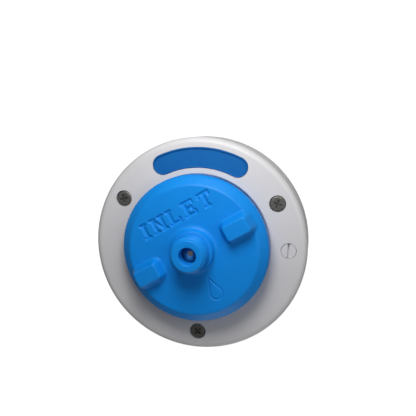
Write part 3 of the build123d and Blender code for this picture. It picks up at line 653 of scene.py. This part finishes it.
# %% Radii and heights of the cap
mouth_radius = ring_edge - 22.2
neck_bore = mouth_radius - 3.8
nose_radius = neck_bore - 0.4
thread_core = mouth_radius - 2.5
thread_depth = 1.9
neck_radius = mouth_radius - 1.5
flange_under = face_z + 7.5
flange_top = flange_under + 3.5
cap_face = flange_top + 4.5
face_radius = cap_edge - 5.6
ceiling = cap_face - 4.0
hollow = nose_radius - 5.1
hollow_wide = neck_radius - 4.8
groove_z = nose_z + 3.0  # the middle of the O-ring's groove
groove_half = 1.4
groove_floor = nose_radius - 2.35
nozzle_crest = 10.48
nozzle_core = 9.36
nozzle_pitch = 1.814
bore_radius = 4.9
seat_z = cap_face + 6.5
chamber_radius = 7.0
tube_radius = 10.0
tube_low = face_z - 2.0

print("face", cap_face, "ceiling of the hollow", ceiling, "neck radius", neck_radius)

# %% Outline of the cap: radius, height, rounding and step at each corner
cap_corners = (
    (bore_radius, seat_z, 0.4, 2.0),
    (bore_radius, tip_z, 0.7, 1.0),
    (nozzle_core - 0.2, tip_z, 0.9, 0.3),
    (nozzle_core, cap_face + 4.4, 0.5, 0.7),
    (nozzle_crest + 1.6, cap_face + 4.0, 0.6, 0.8),
    (nozzle_crest + 2.4, cap_face, 2.6, 0.43),
    (face_radius, cap_face, 0.9, 0.9),
    (cap_edge, flange_top, 1.5, 1.4),
    (cap_edge, flange_under, 0.5, 1.6),
    (neck_radius, flange_under, 0.5, 2.5),
    (neck_radius, face_z - 2.0, 0.4, 0.7),
    (thread_core, face_z - 3.0, 0.4, 0.5),
    (thread_core, nose_z + 8.5, 0.4, 1.2),
    (nose_radius, nose_z + 6.8, 0.4, 1.6),
    (nose_radius, groove_z + groove_half, 0.15, 0.8),
    (groove_floor, groove_z + groove_half, 0.15, 0.9),
    (groove_floor, groove_z - groove_half, 0.15, 0.8),
    (nose_radius, groove_z - groove_half, 0.15, 0.8),
    (nose_radius, nose_z, 0.6, 1.6),
    (hollow, nose_z, 0.6, 2.5),
    (hollow, face_z - 3.0, 0.6, 2.0),
    (hollow_wide, face_z, 0.6, 2.5),
    (hollow_wide, ceiling, 1.5, 4.0),
    (tube_radius, ceiling, 1.0, 2.5),
    (tube_radius, tube_low, 0.3, 1.2),
    (chamber_radius, tube_low, 0.3, 2.5),
    (chamber_radius, seat_z - 3.0, 0.3, 1.2),
)
outline = rounded_outline(cap_corners)
print("cap outline points:", len(outline))

# %% Angles, closer together where there is lettering
cap_turn = math.radians(30)  # how far the seated cap is turned from +X
full_turn = 2 * math.pi
turns = np.linspace(0, full_turn, 4000, endpoint=False)


def near(centre, inner, outer, repeat=full_turn):
    """1 within inner radians of a centre, 0 past outer, for a feature that comes back after each repeat."""
    away = np.abs((turns - centre + repeat / 2) % repeat - repeat / 2)
    return 1 - smooth_step(away, inner, outer)


density = 1 + 2.2 * near(math.pi / 2, 0.75, 0.95)  # the word
density += 1.2 * near(0, 0.22, 0.40, repeat=math.pi) + 2.0 * near(1.5 * math.pi, 0.15, 0.30)  # lugs and drop
share = np.cumsum(density) / density.sum()
angle_count = 384
even = np.arange(angle_count) / angle_count
angles = np.interp(even, np.append(0, share), np.append(turns, full_turn))
print("angle steps from", np.diff(angles).min().round(4), "to", np.diff(angles).max().round(4))

# %% The turned surface and its two threads
radius = np.repeat(outline[:, :1], angle_count, 1)
height = np.repeat(outline[:, 1:], angle_count, 1)
angle = angles[None, :] + cap_turn
outer_nozzle = (radius > bore_radius + 2) & (radius < nozzle_core + 0.4) & (height > cap_face + 4)
radius = radius + outer_nozzle * ridge(
    height, angle, nozzle_pitch, 1, nozzle_crest - nozzle_core, 1.6, cap_face + 4.6, tip_z - 1.0
)
on_neck = (np.abs(radius - thread_core) < 0.3) & (height > nose_z + 8) & (height < face_z - 2.5)
radius = radius + on_neck * ridge(height, angle, 10.0, 2, thread_depth, 3.2, nose_z + 9.0, face_z - 4.0)
face_x = radius * np.cos(angle - cap_turn)
face_y = radius * np.sin(angle - cap_turn)
print("radii from", radius.min().round(2), "to", radius.max().round(2), "mm")

# %% Lugs, word and drop on the face
lug_rise = 7.0
lug_middle = 29.7  # from the axis
lug_size = (14.2, 9.0)
lug_draft = 2.9  # how steep the wall is
lug_foot = 2.2  # the width of the fillet round it
word_depth = 0.9
drop_depth = 0.55

under_face = (radius < hollow_wide + 0.5) & (height < cap_face - 0.5)
on_top = (height > flange_top - 0.5) & (radius > nozzle_core + 0.5) & ~under_face
lug_distance = to_box(np.abs(face_x), face_y, (lug_middle, 0), lug_size, 1.6)
lug_height = cap_face + soft_min(lug_rise, lug_rise - lug_draft * lug_distance, 1.2)
height = np.where(on_top, soft_max(height, lug_height, lug_foot), height)

flat_face = on_top & (radius < face_radius + 0.5) & (radius > nozzle_crest + 3)
engraved = word_depth * (1 - smooth_step(to_word(face_x, face_y), -0.10, 0.50))
groove = drop_depth * (1 - smooth_step(to_drop(face_x, face_y), 0.05, 0.65))
height = height - np.where(flat_face, np.maximum(engraved, groove), 0)

# %% The finished cap
cap_grid = np.stack([radius * np.cos(angle), radius * np.sin(angle), height], -1)
cap_mesh = grid_mesh("inlet_cap_moulding", cap_grid)
cap_surface = place_piece("inlet_cap_moulding", cap_mesh, blue_polypropylene, "cap")
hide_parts("inlet_cap")

# %% [markdown]
# ## The inlay's bead
#
# The inlay is a thin moulded plate with a soft bead all round its edge, which catches the light as a thin
# pale line. A round bar bent along the kidney outline gives that bead. It lies half sunk in the plate's
# flat rim.

# %% Bead round the inlay
inlay_top = low_high("colour_inlay")[1][2]
inlay_middle = math.radians(89.5)
inlay_half_angle = math.radians(25.3)
inlay_circle = ring_edge - 12.1
bead_radius = 0.5
bead_reach = 5.55  # from the inlay's middle arc to the bead's centre line


def kidney(reach, step):
    """Points and outward directions of a line at a constant reach round the inlay's middle arc.

    The line follows the arc outside, goes half round its end, comes back inside and goes half round the other
    end. A point is its place on the middle arc plus reach times its outward direction.
    """
    arc = np.linspace(-inlay_half_angle, inlay_half_angle, round(2 * inlay_half_angle * inlay_circle / step))
    end_turn = np.linspace(0, math.pi, round(math.pi * reach / step))[1:-1]
    first_end, last_end = np.full(len(end_turn), arc[0]), np.full(len(end_turn), arc[-1])
    spine = inlay_middle + np.concatenate([arc, last_end, arc[::-1], first_end])
    turned = [arc, arc[-1] + end_turn, arc[::-1] + math.pi, arc[0] + math.pi + end_turn]
    out = np.concatenate(turned) + inlay_middle
    facing = np.stack([np.cos(out), np.sin(out)], -1)
    points = np.stack([np.cos(spine), np.sin(spine)], -1) * inlay_circle + facing * reach
    return points, facing


bead_line, bead_facing = kidney(bead_reach, bead_radius)
bead_turn = np.linspace(0, full_turn, 16, endpoint=False)[:, None]
bead_flat = bead_line[None] + bead_facing[None] * (bead_radius * np.cos(bead_turn))[..., None]
bead_height = inlay_top - 0.1 + bead_radius * np.sin(bead_turn) + 0 * bead_flat[..., 0]
bead_grid = np.concatenate([bead_flat, bead_height[..., None]], -1)
place_piece("inlay_bead", grid_mesh("inlay_bead", bead_grid), blue_abs, "tank")
print("inlay top at", round(float(inlay_top), 2), "mm")

# %% [markdown]
# ## The check spring
#
# The spring behind the nozzle is five turns of stainless wire. It is made again as a bar wound into a helix,
# which takes the place of the CAD part and rides on the cap.

# %% Check spring
spring_low, spring_high = low_high("check_spring")
wire = 0.7
spring_turns = 5
steps_in_a_turn = 40
steps_round_wire = 10
coil_radius = (spring_high[1] - spring_low[1] - wire) / 2
coil_low, coil_high = spring_low[2] + wire / 2, spring_high[2] - wire / 2
wound = np.linspace(0, full_turn * spring_turns, steps_in_a_turn * spring_turns + 1)
climb = (coil_high - coil_low) / wound[-1]
coil_out = np.stack([np.cos(wound), np.sin(wound), 0 * wound], -1)
coil_along = np.stack([-np.sin(wound) * coil_radius, np.cos(wound) * coil_radius, 0 * wound + climb], -1)
coil_along /= np.linalg.norm(coil_along, axis=1)[:, None]
coil_line = coil_out * coil_radius + np.stack([0 * wound, 0 * wound, coil_low + climb * wound], -1)
coil_over = np.cross(coil_along, coil_out)
coil_mesh = tube_mesh("check_spring_coil", coil_line, coil_out, coil_over, wire, steps_round_wire)

# %% Spring on the cap
coil = place_piece("check_spring_coil", coil_mesh, stainless_steel, "cap")
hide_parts("check_spring")
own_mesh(coil)
